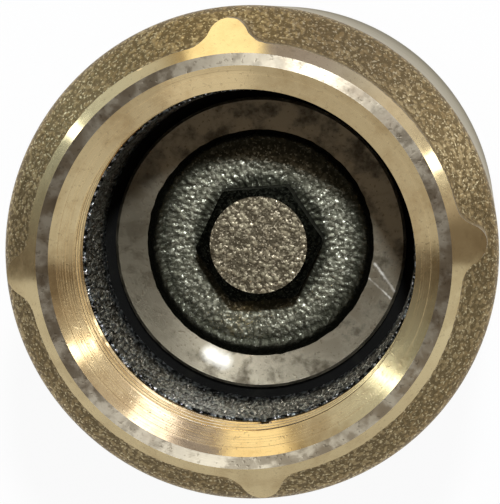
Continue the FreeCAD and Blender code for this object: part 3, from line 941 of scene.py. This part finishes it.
floor_mesh = bmesh.new()
bmesh.ops.create_circle(floor_mesh, cap_ends=True, cap_tris=True, segments=96, radius=0.28)
floor_data = bpy.data.meshes.new("floor")
floor_mesh.to_mesh(floor_data)
floor_mesh.free()
floor = bpy.data.objects.new("floor", floor_data)
bpy.context.scene.collection.objects.link(floor)
floor_paint, tree, output = start_paint("floor_paint")
matt = add_node(tree, "ShaderNodeBsdfDiffuse", Color=(0.9, 0.9, 0.9, 1))
rays = tree.nodes.new("ShaderNodeLightPath").outputs
from_axis = add_node(tree, "ShaderNodeVectorMath", {"operation": "LENGTH"},
                     Vector=tree.nodes.new("ShaderNodeTexCoord").outputs["Object"])
near_foot = mapped(tree, from_axis.outputs["Value"], 0.028, 0.055, 0.88, 0.0)
glow = add_node(tree, "ShaderNodeEmission", Color=(1, 1, 1, 1), Strength=maths(
    tree, "SUBTRACT", 1.0, maths(tree, "MULTIPLY", rays["Is Glossy Ray"], near_foot)))
seen = maths(tree, "MAXIMUM", rays["Is Camera Ray"],
             maths(tree, "MAXIMUM", rays["Is Glossy Ray"], rays["Is Transmission Ray"]))
mix = add_node(tree, "ShaderNodeMixShader", i0=maths(tree, "MULTIPLY", seen, 0.93),
               i1=matt.outputs[0], i2=glow.outputs[0])
clear = tree.nodes.new("ShaderNodeBsdfTransparent")
below = add_node(tree, "ShaderNodeMixShader", i0=tree.nodes.new("ShaderNodeNewGeometry")
                 .outputs["Backfacing"], i1=mix.outputs[0], i2=clear.outputs[0])
tree.links.new(below.outputs[0], output.inputs[0])
floor_data.materials.append(floor_paint)

# %% Cards round the valve
card_mesh = bmesh.new()
card_radius = 0.33
card_line = [card_mesh.verts.new((card_radius, 0, height)) for height in (-0.02, 0.19, 0.40)]
card_edges = [card_mesh.edges.new(pair) for pair in zip(card_line, card_line[1:])]
bmesh.ops.spin(card_mesh, geom=card_line + card_edges, cent=(0, 0, 0), axis=(0, 0, 1),
               angle=math.tau, steps=180, use_merge=True)
card_data = bpy.data.meshes.new("surround")
card_mesh.to_mesh(card_data)
card_mesh.free()
surround = bpy.data.objects.new("surround", card_data)
bpy.context.scene.collection.objects.link(surround)
surround.visible_camera = False
surround.visible_shadow = False
surround_paint, tree, output = start_paint("surround_paint")
place = tree.nodes.new("ShaderNodeTexCoord").outputs["Object"]
parts = add_node(tree, "ShaderNodeSeparateXYZ", Vector=place).outputs
angle = maths(tree, "ARCTAN2", parts["Y"], parts["X"])
around = maths(tree, "FRACT", maths(tree, "ADD", maths(tree, "DIVIDE", angle, math.tau), 1.0))
# Degrees round the axis, counted from +X towards +Y, with the tone from there on.
brown, dark, warm = (0.19, 0.17, 0.16), (0.13, 0.12, 0.115), (1.35, 1.28, 1.05)
pale, soft, cool = (0.55, 0.58, 0.64), (0.50, 0.52, 0.57), (0.58, 0.68, 0.80)
rose = (0.36, 0.37, 0.52)
tones = [(0, brown), (2, brown), (8, (0.45, 0.43, 0.44)), (17, pale), (42, (0.66, 0.67, 0.78)),
         (56, (0.50, 0.55, 0.74)), (66, rose), (83, rose), (84.5, warm), (105, warm),
         (106.5, (0.36, 0.30, 0.22)), (110, (0.40, 0.38, 0.34)), (115, pale), (137, cool),
         (151, (0.36, 0.43, 0.50)), (165, (0.23, 0.25, 0.27)), (178, dark), (184, dark),
         (185.5, pale), (230, soft), (300, soft), (335, (0.62, 0.67, 0.76)), (350.5, pale),
         (351.5, brown)]
ramp = add_node(tree, "ShaderNodeValToRGB", Fac=around)
points = ramp.color_ramp.elements
while len(points) < len(tones):
    points.new(0.5)
for point, (degrees, tone) in zip(points, tones):
    point.position = degrees / 360
    point.color = (*tone, 1)


def bright_band(tree, around, centre, half_width, strength):
    """A narrow bright strip of the card: 0 outside, the strength inside."""
    away = maths(tree, "ABSOLUTE", maths(tree, "SUBTRACT", around, centre / 360))
    return mapped(tree, away, half_width / 360, (half_width + 1.2) / 360, strength, 0.0)


window = maths(tree, "MULTIPLY", bright_band(tree, around, 57.7, 7.0, 5.0),
               mapped(tree, parts["Z"], 0.18, 0.21))
spots = maths(tree, "ADD", bright_band(tree, around, 21.7, 2.0, 7.0),
              bright_band(tree, around, 143.8, 1.5, 7.0))
upper = maths(tree, "MULTIPLY", bright_band(tree, around, 272.0, 12.0, 0.5),
              mapped(tree, parts["Z"], 0.14, 0.18))
glows = maths(tree, "ADD", window, maths(tree, "ADD", spots, upper))
card_glow = add_node(tree, "ShaderNodeEmission", Color=ramp.outputs["Color"],
                     Strength=maths(tree, "ADD", glows, 1.0))
tree.links.new(card_glow.outputs[0], output.inputs[0])
card_data.materials.append(surround_paint)

# %% Ceiling card, lamp and world
ceiling_mesh = bmesh.new()
bmesh.ops.create_circle(ceiling_mesh, cap_ends=True, cap_tris=True, segments=96, radius=0.5)
bmesh.ops.translate(ceiling_mesh, vec=(0, 0, 0.62), verts=ceiling_mesh.verts)
ceiling_data = bpy.data.meshes.new("ceiling")
ceiling_mesh.to_mesh(ceiling_data)
ceiling_mesh.free()
ceiling = bpy.data.objects.new("ceiling", ceiling_data)
bpy.context.scene.collection.objects.link(ceiling)
ceiling.visible_camera = False
ceiling.visible_shadow = False
ceiling_paint, tree, output = start_paint("ceiling_paint")
dim = add_node(tree, "ShaderNodeEmission", Color=(0.21, 0.168, 0.125, 1), Strength=1.0)
tree.links.new(dim.outputs[0], output.inputs[0])
ceiling_data.materials.append(ceiling_paint)

lamp_azimuth, lamp_zenith, lamp_distance = math.radians(71), math.radians(20.2), 0.55
lamp_data = bpy.data.lights.new("key_lamp", "AREA")
lamp_data.shape = "DISK"
lamp_data.size = 0.035
lamp_data.energy = 2.1
lamp_data.color = (0.95, 0.98, 1.0)
lamp = bpy.data.objects.new("key_lamp", lamp_data)
bpy.context.scene.collection.objects.link(lamp)
towards_lamp = Vector((math.sin(lamp_zenith) * math.cos(lamp_azimuth),
                       math.sin(lamp_zenith) * math.sin(lamp_azimuth), math.cos(lamp_zenith)))
lamp.location = towards_lamp * lamp_distance + Vector((0, 0, 0.07))
lamp.rotation_mode = "QUATERNION"
lamp.rotation_quaternion = towards_lamp.to_track_quat("Z", "Y")

world = bpy.data.worlds.new("world")
bpy.context.scene.world = world
world.use_nodes = True
tree = world.node_tree
rays = tree.nodes.new("ShaderNodeLightPath").outputs
seen = maths(tree, "MAXIMUM", rays["Is Camera Ray"],
             maths(tree, "MAXIMUM", rays["Is Glossy Ray"], rays["Is Transmission Ray"]))
tree.nodes["Background"].inputs["Color"].default_value = (1, 1, 1, 1)
tree.links.new(mapped(tree, seen, 0.0, 1.0, 0.6, 1.0), tree.nodes["Background"].inputs["Strength"])
bpy.context.scene.view_settings.view_transform = "Standard"
